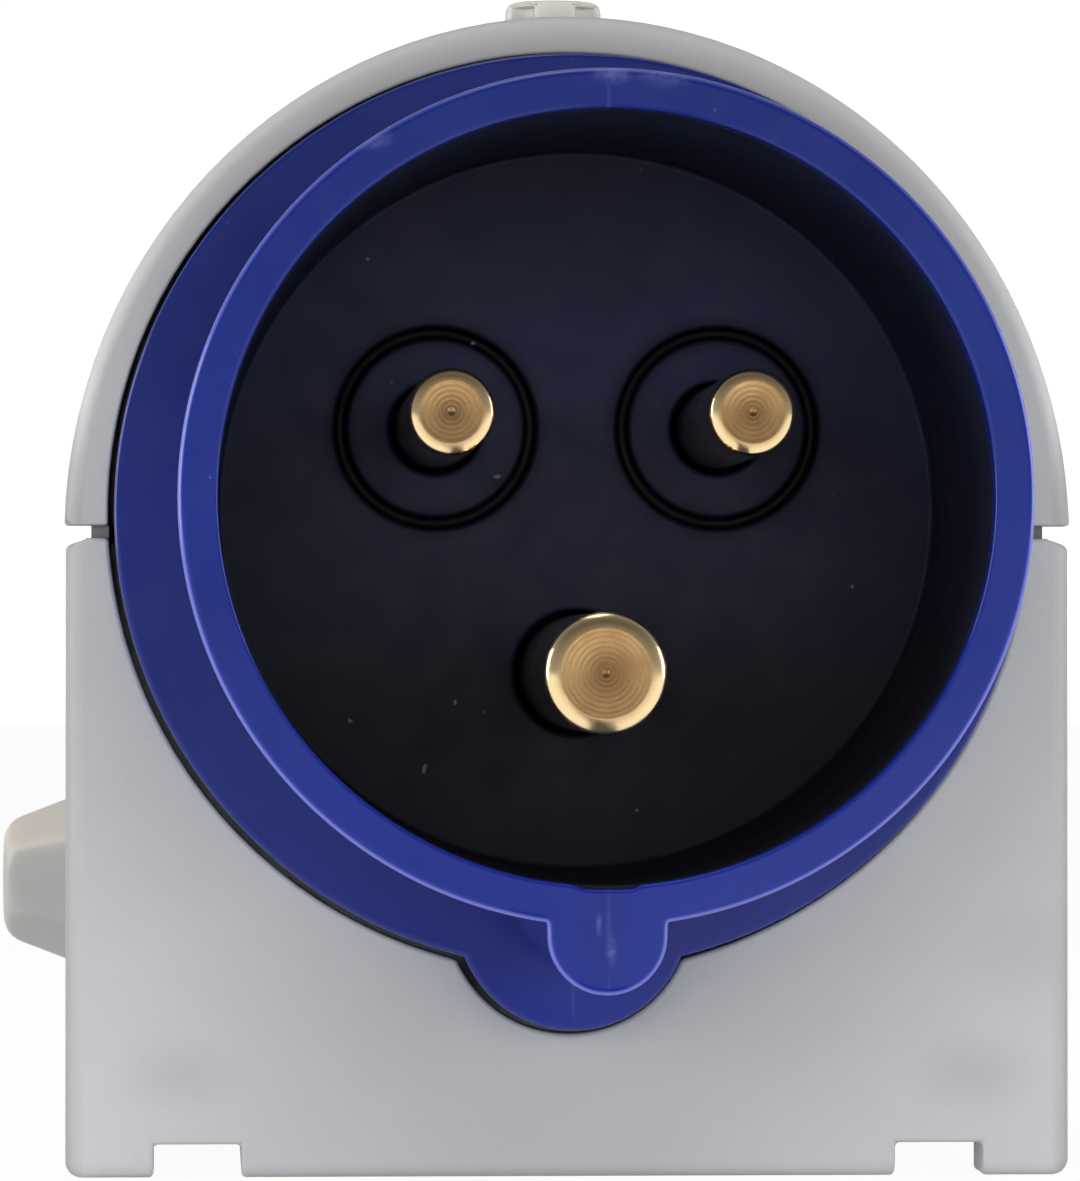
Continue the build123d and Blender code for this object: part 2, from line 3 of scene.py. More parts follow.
import bmesh
import bpy
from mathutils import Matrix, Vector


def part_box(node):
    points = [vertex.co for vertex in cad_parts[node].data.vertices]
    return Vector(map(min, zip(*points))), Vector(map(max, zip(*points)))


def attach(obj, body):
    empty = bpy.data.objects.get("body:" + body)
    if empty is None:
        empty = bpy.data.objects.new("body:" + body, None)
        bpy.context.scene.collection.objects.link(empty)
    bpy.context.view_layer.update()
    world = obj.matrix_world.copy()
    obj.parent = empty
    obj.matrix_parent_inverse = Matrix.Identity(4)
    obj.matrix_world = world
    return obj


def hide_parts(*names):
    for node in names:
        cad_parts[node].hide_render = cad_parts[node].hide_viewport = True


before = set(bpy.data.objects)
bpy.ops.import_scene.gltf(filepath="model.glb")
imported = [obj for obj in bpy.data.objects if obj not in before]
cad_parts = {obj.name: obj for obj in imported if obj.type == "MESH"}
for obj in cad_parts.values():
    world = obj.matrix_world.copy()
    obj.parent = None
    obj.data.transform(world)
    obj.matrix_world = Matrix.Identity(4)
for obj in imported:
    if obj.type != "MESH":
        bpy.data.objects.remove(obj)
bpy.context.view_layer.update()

# Base box
# A deep open box of light-grey thermoplastic, injection moulded in one shot with its bulkhead,
# screw posts and feet. Four screws through its floor hold it on the wall.
mm = 0.001
soft_edge = 0.3
least_edge = 1.3
seam_gap = 0.004
grey_light = (196, 197, 197)
grey_dark = (187, 188, 189)
shade_patch_drop, edge_shade_drop, crown_shade_drop = 26, 44, 90
housing_front = -44.0
side_edge_shade_x = (30.3, 31.3)
crown_axis_z = 41.6
crown_edge = (28.2, 31.2)
crown_height = (50.0, 70.0)
shade_patch_squash = (1.0, 0.2, 1.6)
# Each patch of painted shade has its x and height, its size and its share.
front_shade_patches = ((-24.5, 6.4, 5.0, 0.35), (25.6, 6.4, 5.5, 0.4), (-2.0, 3.0, 32.0, 0.74),
               (29.5, 14.0, 7.0, 0.2))


def limits(name):
    """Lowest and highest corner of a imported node, in millimetres."""
    low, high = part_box(name)
    return low / mm, high / mm


def metres(sizes, origin=0.0):
    """These sizes as metres, each counted from an origin in millimetres."""
    return [(origin + size) * mm for size in sizes]


def paint(red, green, blue):
    """A colour as a shader takes it, from the 0 to 255 values that it shows on screen."""
    shares = (red / 255, green / 255, blue / 255)
    return (*[s / 12.92 if s < 0.04 else ((s + 0.055) / 1.055) ** 2.4 for s in shares], 1.0)


def shifted(colour, step):
    """A colour raised or lowered by this much, as a shader takes it."""
    return paint(*[min(value + step, 255) for value in colour])


class Finish:
    """A new material with one surface shader, and short calls that add the steps of its skin."""

    def __init__(self, name, **constants):
        self.material = bpy.data.materials.new(name)
        self.material.use_nodes = True
        self.tree = self.material.node_tree
        self.shader = self.tree.nodes["Principled BSDF"]
        self.place = self.add("ShaderNodeTexCoord").outputs["Object"]
        for socket, value in constants.items():
            self.shader.inputs[socket.replace("_", " ")].default_value = value

    def join(self, value, socket):
        """Links a step to a socket, or sets the socket to a plain value."""
        if isinstance(value, bpy.types.NodeSocket):
            self.tree.links.new(value, socket)
        else:
            socket.default_value = value

    def add(self, kind, inputs=None, **settings):
        """A new step of this kind, with its inputs joined up."""
        made = self.tree.nodes.new(kind)
        for setting, value in settings.items():
            setattr(made, setting, value)
        for key, value in (inputs or {}).items():
            self.join(value, made.inputs[key])
        return made

    def along(self, kind="Object"):
        """X, Y and Z of the place, or with "Normal" of the way that the surface faces."""
        whole = self.add("ShaderNodeTexCoord").outputs[kind]
        return self.add("ShaderNodeSeparateXYZ", {"Vector": whole}).outputs

    def cloud(self, scale, detail=3.0):
        """Soft random patches, about 1 / scale metres across."""
        inputs = {"Vector": self.place, "Scale": scale, "Detail": detail}
        return self.add("ShaderNodeTexNoise", inputs).outputs["Fac"]

    def span(self, value, low, high, start=0.3, end=0.7):
        """Stretches a value from start..end to low..high."""
        inputs = {"Value": value, "From Min": start, "From Max": end, "To Min": low, "To Max": high}
        return self.add("ShaderNodeMapRange", inputs).outputs["Result"]

    def maths(self, operation, first, second=0.0):
        """Result of one step of arithmetic."""
        return self.add("ShaderNodeMath", {0: first, 1: second}, operation=operation).outputs[0]

    def length(self, point, squash):
        """Distance in metres from a point given in millimetres, with each axis squashed."""
        away = self.add("ShaderNodeVectorMath", {0: self.place, 1: metres(point)}, operation="SUBTRACT")
        away = self.add("ShaderNodeVectorMath", {0: away.outputs[0], 1: squash}, operation="MULTIPLY")
        away = self.add("ShaderNodeVectorMath", {0: away.outputs[0]}, operation="LENGTH")
        return away.outputs["Value"]

    def blend(self, share, first, second):
        """Colour between two colours, which are sockets 6 and 7 of this step."""
        return self.add("ShaderNodeMix", {"Factor": share, 6: first, 7: second}, data_type="RGBA").outputs[2]

    def relief(self, height, depth, under=None, strength=1.0):
        """Bump of this depth in millimetres, laid over another one."""
        inputs = {"Height": height, "Distance": depth * mm, "Strength": strength}
        if under is not None:
            inputs["Normal"] = under
        return self.add("ShaderNodeBump", inputs).outputs["Normal"]

    def near(self, point, size, squash=(1.0, 1.0, 1.0)):
        """1 at a point given in millimetres, falling to 0 at this distance from it."""
        distance = self.length(point, squash)
        inputs = {"Value": distance, "From Min": 0.0, "From Max": size * mm, "To Min": 1.0, "To Max": 0.0}
        return self.add("ShaderNodeMapRange", inputs, interpolation_type="SMOOTHSTEP").outputs["Result"]

    def reach(self, x, z):
        """Distance from an axis along Y, in metres."""
        return self.length((x, 0.0, z), (1.0, 0.0, 1.0))

    def wear(self, colour, roughness, normal):
        """The finished material, with this colour, roughness and bump."""
        self.join(colour, self.shader.inputs["Base Color"])
        self.join(roughness, self.shader.inputs["Roughness"])
        self.join(normal, self.shader.inputs["Normal"])
        return self.material


def moulded_grey(name, light, dark, shade_patches=(), top_shade=0.0):
    """Light-grey plastic with a fine spark-eroded skin and flow marks, with painted shade towards the bottom,
    in patches on the front and on the side edges, and painted shade of this share under the crown."""
    skin = Finish(name, IOR=1.5, Specular_IOR_Level=0.4, Subsurface_Weight=0.02, Subsurface_Scale=0.0006)
    place = skin.along()
    # Painted shade: the grey darkens towards the bottom, with random flow marks on top.
    painted_low_shading = skin.span(place["Z"], 0.45, 0.0, 0.0, 20.0 * mm)
    flow = skin.span(skin.cloud(45.0), 0.0, 0.55)
    colour = skin.blend(skin.maths("ADD", painted_low_shading, flow), paint(*light), paint(*dark))
    # Painted shade: darker patches on the front face, the largest low in the middle under the shroud.
    for x, z, size, share in shade_patches:
        near = skin.near((x, housing_front, z), size, shade_patch_squash)
        colour = skin.blend(skin.maths("MULTIPLY", near, share), colour, shifted(dark, -shade_patch_drop))
    # Painted shade on the rounded side edges and the side walls.
    side_edge_shade = skin.span(skin.maths("ABSOLUTE", place["X"]), 0.0, 0.8, *metres(side_edge_shade_x))
    colour = skin.blend(side_edge_shade, colour, shifted(dark, -edge_shade_drop))
    if top_shade > 0:
        # Painted shade near the top of the hood's face, deepest next to the flange.
        from_axis = skin.reach(0, crown_axis_z)
        inward = skin.span(from_axis, top_shade, 0.25 * top_shade, *metres(crown_edge))
        upward = skin.span(place["Z"], 0.0, 1.0, *metres(crown_height))
        colour = skin.blend(skin.maths("MULTIPLY", inward, upward), colour, shifted(dark, -crown_shade_drop))
    rubbed = skin.span(skin.cloud(900.0, 2.0), 0.0, 0.1, 0.62, 0.72)
    roughness = skin.maths("ADD", skin.span(skin.cloud(420.0), 0.42, 0.56), rubbed)
    normal = skin.relief(skin.cloud(60.0, 2.0), 0.08)
    normal = skin.relief(skin.cloud(5200.0, 2.0), 0.012, normal)
    return skin.wear(colour, roughness, normal)


def sharp_edges(shape):
    """The edges where two faces meet at a clear angle."""
    return {edge for edge in shape.edges if edge.is_manifold and edge.calc_face_angle() > radians(35)}


def is_corner(point, sharp):
    """True where sharp edges meet, end or turn, rather than run on in one line."""
    ends = [edge.other_vert(point).co - point.co for edge in point.link_edges if edge in sharp]
    return len(ends) != 2 or ends[0].angle(-ends[1]) > radians(30)


def clear_short_edges(shape, length):
    """Draws the short last step of a curved edge into the corner where it ends."""
    sharp = sharp_edges(shape)
    merged = {}
    for edge in sharp:
        first, second = edge.verts
        if edge.calc_length() < length and is_corner(first, sharp) != is_corner(second, sharp):
            corner, other = (first, second) if is_corner(first, sharp) else (second, first)
            merged[other] = corner
    bmesh.ops.weld_verts(shape, targetmap=merged)


def placed(name, content):
    """A new object in the scene that holds this mesh, lamp or lens."""
    made = bpy.data.objects.new(name, content)
    bpy.context.scene.collection.objects.link(made)
    return made


def rounded(name, width=soft_edge, segments=3):
    """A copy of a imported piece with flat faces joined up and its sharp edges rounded."""
    shape = bmesh.new()
    shape.from_mesh(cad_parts[name].data)
    bmesh.ops.remove_doubles(shape, verts=shape.verts, dist=seam_gap / 2 * mm)
    bmesh.ops.dissolve_limit(shape, angle_limit=radians(0.05), verts=shape.verts, edges=shape.edges)
    shortest = least_edge * width * mm
    clear_short_edges(shape, shortest)
    sharp = sharp_edges(shape)
    corners = {point for edge in sharp for point in edge.verts if is_corner(point, sharp)}
    short = [edge for edge in sharp if edge.calc_length() < shortest and corners.issuperset(edge.verts)]
    tight = {point for edge in short for point in edge.verts}
    clear = [edge for edge in sharp if not tight.intersection(edge.verts)]
    bmesh.ops.bevel(shape, geom=clear, offset=width * mm, segments=segments, profile=0.5,
                    affect="EDGES", clamp_overlap=False)
    bmesh.ops.remove_doubles(shape, verts=shape.verts, dist=seam_gap * mm)
    bmesh.ops.dissolve_degenerate(shape, dist=seam_gap * mm, edges=shape.edges)
    mesh = bpy.data.meshes.new(name + "_moulded")
    shape.to_mesh(mesh)
    shape.free()
    piece = placed(name + "_moulded", mesh)
    smooth(piece)
    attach(piece, "root")
    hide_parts(name)
    return piece


def smooth(piece, below=40):
    """Smooth shading, but for edges sharper than this, with flat faces kept flat."""
    bpy.context.view_layer.objects.active = piece
    piece.select_set(True)
    bpy.ops.object.shade_smooth_by_angle(angle=radians(below))
    piece.select_set(False)
    flat = piece.modifiers.new("flat_faces", "WEIGHTED_NORMAL")
    flat.keep_sharp = True


def dress(piece, material):
    """Gives a piece its one material and the name of its slot."""
    piece.data.materials.clear()
    piece.data.materials.append(material)


def mesh_object(name, points, faces):
    """An object from points in millimetres, with its faces turned outwards."""
    mesh = bpy.data.meshes.new(name)
    mesh.from_pydata([(x * mm, y * mm, z * mm) for x, y, z in points], [], faces)
    shape = bmesh.new()
    shape.from_mesh(mesh)
    bmesh.ops.recalc_face_normals(shape, faces=shape.faces)
    shape.to_mesh(mesh)
    shape.free()
    return placed(name, mesh)


def new_piece(name, points, faces, smooth_below=40):
    """A mesh piece, smooth but for its sharp edges, on the root body."""
    piece = mesh_object(name, points, faces)
    smooth(piece, smooth_below)
    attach(piece, "root")
    return piece


def skinned(loops, closed=False):
    """Points and faces of a skin through loops of equal length. An open one is capped at both ends."""
    count = len(loops[0])
    points = [point for loop in loops for point in loop]
    rows = len(loops) if closed else len(loops) - 1
    faces = []
    for row in range(rows):
        here, there = row * count, (row + 1) % len(loops) * count
        for k in range(count):
            after = (k + 1) % count
            faces.append((here + k, here + after, there + after, there + k))
    if not closed:
        faces.append(tuple(range(count)))
        faces.append(tuple(range(len(points) - count, len(points))))
    return points, faces


housing_grey = moulded_grey("housing_grey", grey_light, grey_dark, front_shade_patches)
dress(rounded("base_box"), housing_grey)

# Cable gland
# A nylon gland in the rear wall: threaded body, flat washer, locknut inside, rubber sleeve and
# domed nut. The locknut pulls its wrench collar against the washer and the wall.
gland_light, gland_dark = (166, 168, 170), (150, 152, 156)
rubber_black = (40, 36, 34)
rubber_dust = 22
gland_edge, seal_edge = 0.2, 0.12


def soft_rubber(name, colour):
    """Dull rubber with a dusty, slightly pitted skin."""
    skin = Finish(name, IOR=1.52, Specular_IOR_Level=0.35)
    dust = skin.span(skin.cloud(300.0), 0.0, 0.6)
    dull = skin.blend(dust, paint(*colour), shifted(colour, rubber_dust))
    normal = skin.relief(skin.cloud(2600.0), 0.02)
    return skin.wear(dull, skin.span(skin.cloud(700.0), 0.6, 0.8), normal)


gland_grey = moulded_grey("gland_grey", gland_light, gland_dark)
seal_rubber = soft_rubber("seal_rubber", rubber_black)
for name in ("gland_body", "gland_locknut", "gland_nut"):
    dress(rounded(name, gland_edge), gland_grey)
for name in ("gland_washer", "gland_insert"):
    dress(rounded(name, seal_edge, 2), seal_rubber)

# Blanking plug and its seal
# Natural nylon plug that closes the spare cable entry in the left wall. Its tapered hexagonal
# head is turned by hand, and a rubber ring seals it in the counterbore.
plug_low, plug_high = limits("side_plug")
plug_y, plug_z = (plug_low.y + plug_high.y) / 2, (plug_low.z + plug_high.z) / 2
plug_base_r, plug_end_r, plug_head, plug_round = 5.65, 3.85, 4.85, 1.9
plug_wall_x = plug_low.x + plug_head
plug_flat_cut, plug_soft = 0.5, 0.35
stem_r, stem_chamfer = 3.9, 0.975
hairline = 0.001
plug_angles = [tau * k / 180 for k in range(180)]
plug_side = atan2(plug_base_r - plug_end_r, plug_head)
nylon_radius = (1.0, 0.9, 0.7)
nylon_top_light = (208, 200, 190)
plug_light, plug_dark = (172, 171, 168), (160, 160, 159)


def natural_nylon(name, colour, shade):
    """Milky natural plastic that lets some light through, with painted light where it faces up."""
    skin = Finish(name, IOR=1.53, Specular_IOR_Level=0.5, Subsurface_Weight=0.35, Subsurface_Scale=0.003,
                  Subsurface_Radius=nylon_radius)
    cloudy = skin.span(skin.cloud(130.0), 0.0, 0.8)
    normal = skin.relief(skin.cloud(350.0), 0.05)
    normal = skin.relief(skin.cloud(4200.0), 0.01, normal)
    milky = skin.blend(cloudy, paint(*colour), paint(*shade))
    # Painted light: faces that point up are lighter and warmer.
    upward = skin.span(skin.along("Normal")["Z"], 0.0, 0.8, 0.1, 0.6)
    milky = skin.blend(upward, milky, paint(*nylon_top_light))
    return skin.wear(milky, skin.span(skin.cloud(500.0), 0.36, 0.5), normal)


def plug_loop(radius, height):
    """Loop of the plug at this height above the wall: a circle cut by six leaning flats, or round
    below the wall."""
    flat = plug_base_r - plug_flat_cut - max(height, 0.0) * tan(plug_side)
    points = []
    for angle in plug_angles:
        off_flat = (angle + pi / 6) % (pi / 3) - pi / 6
        hexagon = flat / cos(off_flat) if height >= 0 else radius + 1
        share = max(plug_soft - abs(hexagon - radius), 0.0) / plug_soft
        r = min(radius, hexagon) - share * share * plug_soft / 4
        points.append((plug_wall_x - height, plug_y + r * cos(angle), plug_z + r * sin(angle)))
    return points


round_h = plug_head - plug_round
round_r = plug_base_r - round_h * tan(plug_side) - plug_round / cos(plug_side)
turn = [plug_side + (pi / 2 - plug_side) * k / 14 for k in range(15)]
stem_end = plug_wall_x - plug_high.x
sections = [plug_loop(stem_r - stem_chamfer, stem_end), plug_loop(stem_r, stem_end + stem_chamfer)]
sections += [plug_loop(stem_r, -hairline), plug_loop(plug_base_r, 0.0), plug_loop(plug_base_r, hairline)]
sections += [plug_loop(round_r + plug_round * cos(t), round_h + plug_round * sin(t)) for t in turn]
plug = new_piece("side_plug_moulded", *skinned(sections), 50)
dress(plug, natural_nylon("plug_nylon", plug_light, plug_dark))
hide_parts("side_plug")
dress(rounded("side_plug_seal", seal_edge, 2), seal_rubber)

# Contact pins
# Three pins turned from brass bar: contact with a rounded tip, collar, and a terminal barrel
# bored for the wire. The earth pin is thicker and longer than the two live pins.
shroud_low, shroud_high = limits("inlet_shroud")
drum_r = shroud_high.x
axis_z = shroud_high.z - drum_r
bowl_depth = 34.0
floor_y = shroud_low.y + bowl_depth
pin_circle_r = 10.0
live_angle, earth_angle = 30, 270
pin_turns = 128
hollow_r = 0.02
pip_r, pip_depth, dish = 0.22, 0.07, 0.05
ripple_pitch, ripple_steps, ripple_height = 0.30, 6, 0.0016
tip_turn = 52
side_start, side_seam = 0.06, 3.0
neck_step = 0.25
collar_run, collar_step, collar_round = 3.0, 1.0, 0.2
barrel_run, barrel_chamfer = 16.0, 0.45
wire_bore, bore_chamfer = 10.0, 0.3
clamp_from_end = 5.0
ring_pitch = 0.21
root_shade = (-20.0, -3.0)
brass_light, brass_dark = (226, 184, 130), (206, 158, 104)
brass_dark_reflection, brass_edge_highlight, brass_root_shade = (140, 106, 70), (255, 228, 176), (74, 66, 62)
live_pin = {"contact_r": 2.5, "tip_run": 0.7, "barrel_r": 4.0, "wire_r": 1.8, "clamp_r": 1.55}
earth_pin = {"contact_r": 3.5, "tip_run": 0.95, "barrel_r": 4.9, "wire_r": 2.3, "clamp_r": 2.05}


def turned_loops(profile, centre_x, centre_z, turns):
    """Circles round an axis along Y, one for each radius and depth of a profile."""
    angles = [tau * k / turns for k in range(turns)]
    return [[(centre_x + r * cos(a), y, centre_z + r * sin(a)) for a in angles] for r, y in profile]


def arc(centre_r, centre_y, radius, start, end, steps):
    """Part of a profile: an arc from one angle to another, 0 pointing outwards, 90 to the rear."""
    turn = [radians(start + (end - start) * k / steps) for k in range(steps + 1)]
    return [(centre_r + radius * cos(a), centre_y + radius * sin(a)) for a in turn]


def turned_brass(name, centre_x, centre_z, contact_r):
    """Brass with the rings of its turning round this axis, a painted dark reflection at the middle of the
    tip, a painted highlight round its edge, and duller with painted shade towards the floor of the cup."""
    skin = Finish(name, Metallic=1.0)
    radius = skin.reach(centre_x, centre_z)
    wobble = skin.maths("MULTIPLY", skin.cloud(600.0), 0.4 * mm)
    wandering = skin.maths("ADD", radius, wobble)
    ring = skin.maths("SINE", skin.maths("MULTIPLY", wandering, tau / (ring_pitch * mm)))
    tarnish = skin.span(skin.cloud(380.0), 0.0, 0.8, 0.42, 0.68)
    # Painted reflection: the flat middle of the tip is darker, with the turning rings in it.
    middle = skin.span(radius, 0.75, 0.0, 0.12 * contact_r * mm, 0.52 * contact_r * mm)
    middle = skin.maths("MULTIPLY", middle, skin.span(ring, 0.75, 1.0, -1.0, 1.0))
    # Painted highlight round the rounded edge of the tip, which is also less rough there.
    edge = skin.span(radius, 0.0, 1.0, 0.70 * contact_r * mm, 0.86 * contact_r * mm)
    colour = skin.blend(tarnish, paint(*brass_light), paint(*brass_dark))
    colour = skin.blend(middle, colour, paint(*brass_dark_reflection))
    colour = skin.blend(edge, colour, paint(*brass_edge_highlight))
    # Painted shade on the pin deeper in the cup, darkest near its floor.
    root = skin.span(skin.along()["Y"], 0.0, 1.0, *metres(root_shade, floor_y))
    colour = skin.blend(root, colour, paint(*brass_root_shade))
    roughness = skin.span(skin.cloud(1500.0), 0.18, 0.26)
    roughness = skin.maths("ADD", roughness, skin.maths("MULTIPLY", tarnish, 0.10))
    roughness = skin.maths("SUBTRACT", roughness, skin.maths("MULTIPLY", edge, 0.08))
    roughness = skin.maths("ADD", roughness, skin.maths("MULTIPLY", root, 0.3))
    return skin.wear(colour, roughness, skin.relief(skin.cloud(260.0, 1.0), 0.003))


def combine(piece, other, operation):
    """Joins or cuts a piece with another solid, which is used up, and clears what has no area."""
    step = piece.modifiers.new("combine", "BOOLEAN")
    step.operation = operation
    step.object = other
    step.solver = "EXACT"
    bpy.context.view_layer.objects.active = piece
    bpy.ops.object.modifier_move_to_index(modifier=step.name, index=0)
    bpy.ops.object.modifier_apply(modifier=step.name)
    bpy.data.objects.remove(other)
    shape = bmesh.new()
    shape.from_mesh(piece.data)
    bmesh.ops.dissolve_degenerate(shape, dist=hairline * mm, edges=shape.edges)
    shape.to_mesh(piece.data)
    shape.free()


def spoke(angle, start, end, y, radius):
    """Round bar that points away from the shroud's axis, in millimetres."""
    bpy.ops.mesh.primitive_cylinder_add(vertices=48, radius=radius * mm, depth=(end - start) * mm)
    bar = bpy.context.object
    middle = (start + end) / 2 * mm
    bar.rotation_euler = (0, pi / 2 - radians(angle), 0)
    bar.location = (middle * cos(radians(angle)), y * mm, axis_z * mm + middle * sin(radians(angle)))
    bpy.ops.object.transform_apply()
    return bar


def make_pin(name, angle, contact_r, tip_run, barrel_r, wire_r, clamp_r):
    """One pin at this angle of the pin circle, turned from its tip to the bore for the wire, with
    the cross hole of its clamping screw."""
    low, high = limits(name)
    centre_x = pin_circle_r * cos(radians(angle))
    centre_z = axis_z + pin_circle_r * sin(radians(angle))
    tip, back = low.y, high.y
    collar_back = back - barrel_run
    collar_front = collar_back - collar_run
    face_r = contact_r - tip_run
    profile = [(hollow_r, tip + dish + pip_depth), (0.6 * pip_r, tip + dish + 0.7 * pip_depth)]
    profile.append((pip_r, tip + dish))
    steps = int((face_r - pip_r) / ripple_pitch * ripple_steps)
    for k in range(1, steps):
        r = pip_r + (face_r - pip_r) * k / steps
        sink = dish * (1 - (r / face_r) ** 2)
        profile.append((r, tip + sink + ripple_height * (1 - cos(tau * (r - pip_r) / ripple_pitch))))
    crown_r = tip_run / sin(radians(tip_turn))
    profile += arc(face_r, tip + crown_r, crown_r, -90, tip_turn - 90, 9)
    profile += [(contact_r, profile[-1][1] + side_start), (contact_r, tip + side_seam)]
    profile.append((contact_r, floor_y))
    profile += [(contact_r - neck_step, floor_y), (contact_r - neck_step, collar_front)]
    collar_r = barrel_r + collar_step
    profile += arc(collar_r - collar_round, collar_front + collar_round, collar_round, -90, 0, 4)
    profile += arc(collar_r - collar_round, collar_back - collar_round, collar_round, 0, 90, 4)
    profile += [(barrel_r, collar_back), (barrel_r, back - barrel_chamfer), (barrel_r - barrel_chamfer, back)]
    profile += [(wire_r + bore_chamfer, back), (wire_r, back - bore_chamfer)]
    profile += [(wire_r, back - wire_bore), (hollow_r, back - wire_bore)]
    points, faces = skinned(turned_loops(profile, centre_x, centre_z, pin_turns))
    pin = new_piece(name + "_turned", points, faces)
    cross_hole = spoke(angle, pin_circle_r, pin_circle_r + collar_r, back - clamp_from_end, clamp_r)
    combine(pin, cross_hole, "DIFFERENCE")
    dress(pin, turned_brass(name + "_brass", centre_x, centre_z, contact_r))
    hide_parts(name)


for name, angle, sizes in (("pin_line", 180 - live_angle, live_pin), ("pin_neutral", live_angle, live_pin),
                           ("pin_earth", earth_angle, earth_pin)):
    make_pin(name, angle, **sizes)

# Terminal screws, retainer screws and lug screws
# Zinc-plated steel screws with a straight slot. Three clamp the wires, two hold the retainer on
# the carrier and two hold the shroud's lugs on the posts of the base.
zinc_light, zinc_dark = (196, 199, 204), (150, 152, 156)
steel_screws = ("terminal_screw_line", "terminal_screw_neutral", "terminal_screw_earth",
                "retainer_screws", "lug_screws")


def plated_steel(name):
    """Zinc plating: grey metal with a faint spangle and rubbed patches."""
    skin = Finish(name, Metallic=1.0)
    spangle = skin.cloud(1400.0, 4.0)
    colour = skin.blend(skin.span(spangle, 0.0, 1.0), paint(*zinc_light), paint(*zinc_dark))
    normal = skin.relief(skin.cloud(3000.0), 0.004)
    return skin.wear(colour, skin.span(skin.cloud(600.0), 0.25, 0.45), normal)


steel = plated_steel("zinc_plated_steel")
for name in steel_screws:
    dress(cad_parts[name], steel)

# Pin carrier, retainer and lock ring
# A black cup of thermosetting plastic carries the pins and closes the shroud, with two ring
# grooves in its floor. A screwed plate traps the pin collars and a spring ring holds the cup.
live_x, live_rise = pin_circle_r * cos(radians(live_angle)), pin_circle_r * sin(radians(live_angle))
groove_r = 5.85
groove_shadow = (0.3, 1.3)
floor_shade, recess_shade = (-12.0, 7.0), (0.05, 0.5)
# The blue cast of the carrier's colours is a painted reflection of the blue shroud.
carrier_light, carrier_dark, carrier_low_shade = (25, 28, 50), (31, 34, 58), (23, 23, 29)
groove_shade_black, recess_shade_black, speck_grey = (15, 15, 21), (6, 6, 9), (120, 124, 135)


def carrier_plastic(name):
    """Satin black plastic with a painted blue reflection of the shroud, fine pressing texture and dust
    specks, and painted shade low down, in its ring grooves and in its recesses.
    """
    skin = Finish(name, IOR=1.5, Specular_IOR_Level=0.22)
    place = skin.along()
    mottle = skin.span(skin.cloud(80.0), 0.0, 1.0)
    colour = skin.blend(mottle, paint(*carrier_light), paint(*carrier_dark))
    # Painted shade: the cup darkens towards the bottom.
    painted_low_shading = skin.span(place["Z"], 0.85, 0.0, *metres(floor_shade, axis_z))
    colour = skin.blend(painted_low_shading, colour, paint(*carrier_low_shade))
    # Painted shade in the two ring grooves round the live pins.
    for side in (-1, 1):
        off = skin.maths("SUBTRACT", skin.reach(side * live_x, axis_z + live_rise), groove_r * mm)
        ring = skin.span(skin.maths("ABSOLUTE", off), 0.8, 0.0, *metres(groove_shadow))
        colour = skin.blend(ring, colour, paint(*groove_shade_black))
    # Painted shade in the holes and recesses behind the floor of the cup.
    recess = skin.span(place["Y"], 0.0, 1.0, *metres(recess_shade, floor_y))
    colour = skin.blend(recess, colour, paint(*recess_shade_black))
    specks = skin.span(skin.cloud(900.0, 1.0), 0.0, 0.5, 0.80, 0.83)
    colour = skin.blend(specks, colour, paint(*speck_grey))
    normal = skin.relief(skin.cloud(160.0, 2.0), 0.05)
    normal = skin.relief(skin.cloud(3600.0), 0.012, normal)
    return skin.wear(colour, skin.span(skin.cloud(380.0), 0.40, 0.55), normal)


carrier_black = carrier_plastic("carrier_black")
for name, width in (("pin_carrier", 0.3), ("pin_retainer", 0.12), ("lock_ring", 0.12)):
    dress(rounded(name, width), carrier_black)

# Inlet shroud
# Deep-blue moulded shroud with a solid key rib at six o'clock, a flange with the matching lobe,
# and a neck behind. Its lugs are screwed to the base and its tongue takes the hood screw.
rim_y = shroud_low.y
rim_round = 0.4
crown_shade, foot_shade = (0.0, 26.0), (-24.0, -12.0)
highlight_fade, highlight_from_r = (0.0, 22.0), (23.2, 23.6)
key_shade_x, key_shade_z, key_shade_size, key_shade_squash = -0.2, -24.4, 3.2, (1.5, 0.1, 1.0)
wall_x, wall_y, wall_z, wall_size, wall_squash = -3.2, -66.0, -25.0, 26.0, (2.5, 1.0, 2.0)
blue_light, blue_dark = (15, 32, 112), (22, 40, 124)
blue_crown_shade, blue_foot_light, blue_key_shade = (22, 32, 88), (28, 44, 142), (24, 32, 88)
blue_pale, blue_edge_highlight = (150, 158, 214), (104, 112, 212)
# Each mark has its x and its height over the axis, its size, how far it is squashed, and its share.
pale_marks = ((-23.2, 11.8, 0.7, 1.0, 0.7), (-13.6, 20.2, 0.9, 0.5, 0.25), (0.3, 24.2, 1.1, 0.7, 0.28),
              (3.4, 24.1, 1.2, 0.5, 0.2), (0.2, -25.6, 1.3, 3.0, 0.25), (-0.5, -24.2, 1.0, 4.0, 0.2))


